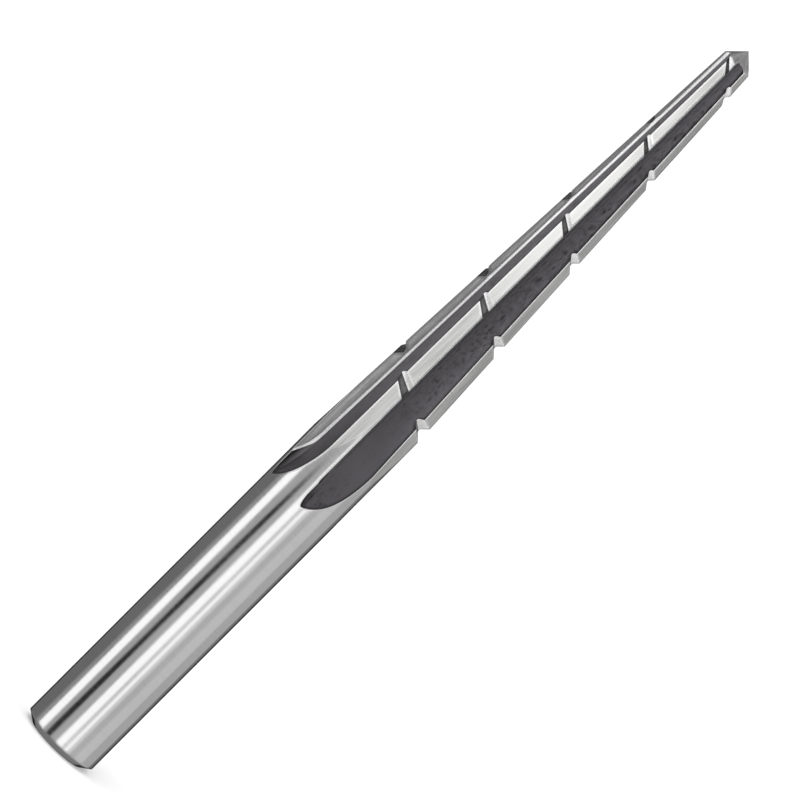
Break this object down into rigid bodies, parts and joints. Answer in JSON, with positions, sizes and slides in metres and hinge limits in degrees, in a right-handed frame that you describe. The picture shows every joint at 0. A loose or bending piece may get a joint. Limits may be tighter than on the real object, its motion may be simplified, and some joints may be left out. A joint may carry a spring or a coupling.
{
  "type": "die maker reamer",
  "caption": "Tapered straight-flute reamer with a plain round shank, relieved lands, staggered slanted chip-breaker notches and a ninety-degree point.",
  "frame": {"origin": "centre of the flat end face of the shank", "axes": "+Z along the axis from the shank to the point, -Y through the cutting edge that faces the viewer in the picture"},
  "size_m": [0.0126, 0.0126, 0.1445],
  "materials": {
    "steel": "ground bright on the shank, the lands and the cutting faces, milled dull and dark in the flutes"
  },
  "bodies": {
    "root": {"reamer": "steel"}
  },
  "joints": []
}
